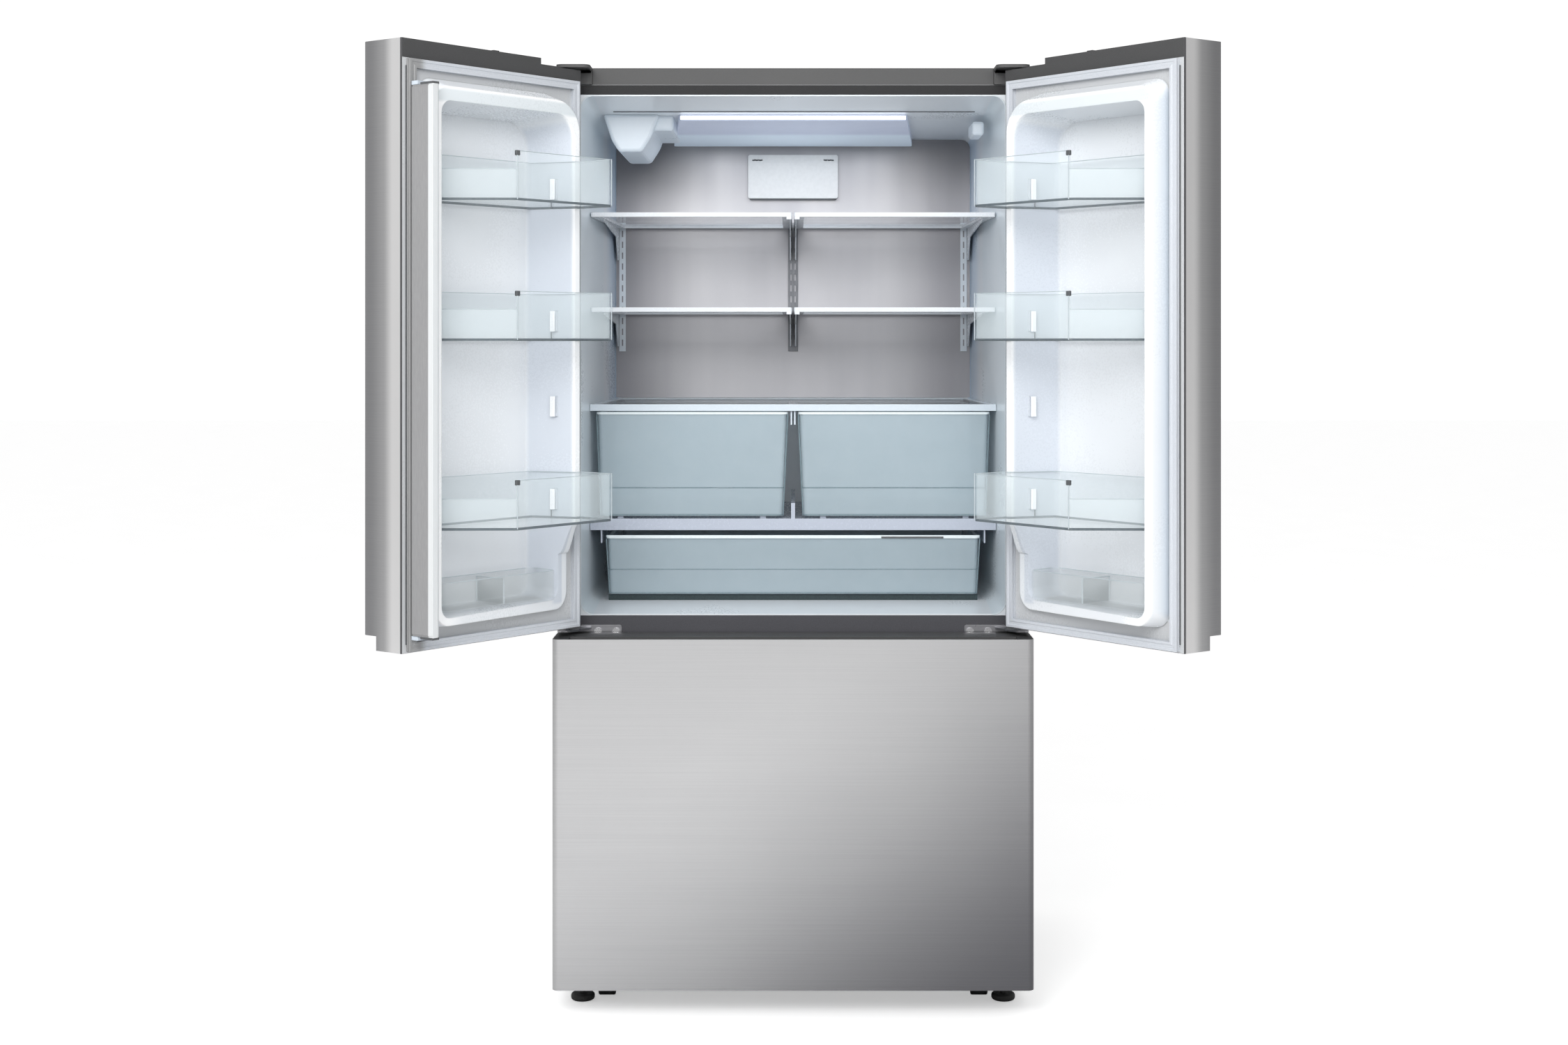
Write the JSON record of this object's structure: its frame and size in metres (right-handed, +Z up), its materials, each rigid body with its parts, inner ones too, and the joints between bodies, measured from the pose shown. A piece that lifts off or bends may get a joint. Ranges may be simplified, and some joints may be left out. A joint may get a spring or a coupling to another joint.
{
  "type": "french door refrigerator",
  "caption": "Tall refrigerator with side-by-side hinged doors over a full-width freezer drawer, door bins, shelves, crispers and a folding centre flap.",
  "frame": {"origin": "centre of the case's footprint, on the floor", "axes": "+Z up, +Y from the doors towards the back, +X to the right as seen from the front; doors open, drawers in"},
  "size_m": [1.5176, 1.1062, 1.811],
  "materials": {
    "case_paint": "textured grey enamel on steel sheet",
    "galvanised": "zinc-coated steel sheet",
    "stainless": "brushed stainless sheet with a clear coat",
    "panel_metal": "fine brushed metal sheet",
    "foam": "closed-cell polyurethane foam",
    "liner_white": "smooth white vacuum-formed liner",
    "door_grey": "light grey moulded plastic",
    "dark_trim": "dark grey moulded plastic",
    "cover_grey": "mid grey moulded plastic",
    "rail_dark": "dark grey painted steel",
    "hinge_steel": "plated steel",
    "screw_steel": "bright plated screws",
    "gasket": "soft light grey magnetic seal",
    "clear_bin": "clear moulded styrene",
    "shelf_white": "white moulded trim",
    "shelf_glass": "tempered glass",
    "track_grey": "grey painted steel with slots",
    "lamp_diffuser": "frosted diffuser",
    "circuit": "white circuit board with diodes",
    "black_steel": "black enamel",
    "fin_metal": "plain fins",
    "fan_plastic": "black moulded plastic",
    "slide_steel": "zinc-plated rail",
    "basket_white": "white moulded plastic",
    "foot_black": "hard black rubber and nylon",
    "flap_grey": "grey painted steel face on white plastic"
  },
  "bodies": {
    "cabinet": {"air_filter_cover": "shelf_white", "back_wall_panel": "panel_metal", "base_frame": "galvanised", "cabinet_foam": "foam", "compressor": "black_steel", "condenser": "black_steel", "crisper_cover": "shelf_white", "evaporator": "fin_metal", "filter_housing": "lamp_diffuser", "freezer_liner": "liner_white", "fridge_liner": "liner_white", "hinge_covers": "cover_grey", "hinge_screws": "screw_steel", "lamp_cover": "lamp_diffuser", "led_strip": "circuit", "levelling_legs": "foot_black", "machine_cover": "galvanised", "mid_hinges": "hinge_steel", "mid_rail": "rail_dark", "outer_case": "case_paint", "pantry_frame": "shelf_white", "rear_panel": "galvanised", "shelf_frames": "shelf_white", "shelf_glass": "shelf_glass", "shelf_tracks": "track_grey", "slide_fixed": "slide_steel", "top_cover_strip": "cover_grey", "top_hinges": "hinge_steel", "top_rail": "rail_dark"},
    "left_door": {"left_door_skin": "stainless", "left_door_caps": "dark_trim", "left_door_liner": "door_grey", "left_door_foam": "foam", "left_door_gasket": "gasket", "left_door_bins": "clear_bin", "left_base_bin": "clear_bin"},
    "right_door": {"right_door_skin": "stainless", "right_door_caps": "dark_trim", "right_door_liner": "door_grey", "right_door_foam": "foam", "right_door_gasket": "gasket", "right_door_bins": "clear_bin", "right_base_bin": "clear_bin"},
    "flap": {"mullion_flap": "flap_grey"},
    "left_crisper": {"left_crisper": "clear_bin"},
    "right_crisper": {"right_crisper": "clear_bin"},
    "pantry_drawer": {"pantry_drawer": "clear_bin"},
    "freezer_drawer": {"drawer_skin": "stainless", "drawer_handle_cap": "dark_trim", "drawer_liner": "liner_white", "drawer_foam": "foam", "drawer_gasket": "gasket", "slide_inner": "slide_steel", "freezer_basket": "basket_white"},
    "slide_middle": {"slide_middle": "slide_steel"},
    "freezer_tray": {"freezer_tray": "basket_white"},
    "condenser_fan": {"condenser_fan": "fan_plastic"},
    "evaporator_fan": {"evaporator_fan": "fan_plastic"},
    "front_rollers": {"front_rollers": "foot_black"},
    "rear_rollers": {"rear_rollers": "foot_black"}
  },
  "joints": [
    {"name": "left_door_hinge", "type": "hinge", "parent": "cabinet", "child": "left_door", "pos_m": [-0.44, -0.3747, 1.27], "axis": [0, 0, -1], "range_deg": [-127.65, 0]},
    {"name": "right_door_hinge", "type": "hinge", "parent": "cabinet", "child": "right_door", "pos_m": [0.44, -0.3747, 1.27], "axis": [0, 0, 1], "range_deg": [-127.65, 0]},
    {"name": "flap_hinge", "type": "hinge", "parent": "left_door", "child": "flap", "pos_m": [-0.65429, -0.74079, 1.27], "axis": [0, 0, 1], "range_deg": [-90, 0]},
    {"name": "left_crisper_slide", "type": "slide", "parent": "cabinet", "child": "left_crisper", "axis": [0, -1, 0], "range_m": [0, 0.26]},
    {"name": "right_crisper_slide", "type": "slide", "parent": "cabinet", "child": "right_crisper", "axis": [0, -1, 0], "range_m": [0, 0.26]},
    {"name": "pantry_slide", "type": "slide", "parent": "cabinet", "child": "pantry_drawer", "axis": [0, -1, 0], "range_m": [0, 0.32]},
    {"name": "freezer_drawer_slide", "type": "slide", "parent": "cabinet", "child": "freezer_drawer", "axis": [0, -1, 0], "range_m": [0, 0.42]},
    {"name": "middle_rail_slide", "type": "slide", "parent": "cabinet", "child": "slide_middle", "axis": [0, -1, 0], "range_m": [0, 0.21]},
    {"name": "freezer_tray_slide", "type": "slide", "parent": "freezer_drawer", "child": "freezer_tray", "axis": [0, 1, 0], "range_m": [0, 0.15]},
    {"name": "condenser_fan_spin", "type": "hinge", "parent": "cabinet", "child": "condenser_fan", "pos_m": [-0.103, 0.232, 0.156], "axis": [1, 0, 0], "continuous": true},
    {"name": "evaporator_fan_spin", "type": "hinge", "parent": "cabinet", "child": "evaporator_fan", "pos_m": [0, 0.206, 0.609], "axis": [0, 1, 0], "continuous": true},
    {"name": "front_roller_spin", "type": "hinge", "parent": "cabinet", "child": "front_rollers", "pos_m": [0, -0.287, 0.018], "axis": [1, 0, 0], "continuous": true},
    {"name": "rear_roller_spin", "type": "hinge", "parent": "cabinet", "child": "rear_rollers", "pos_m": [0, 0.272, 0.018], "axis": [1, 0, 0], "continuous": true}
  ],
  "couplings": [
    {"joint": "middle_rail_slide", "follows": "freezer_drawer_slide", "ratio": 0.5}
  ]
}
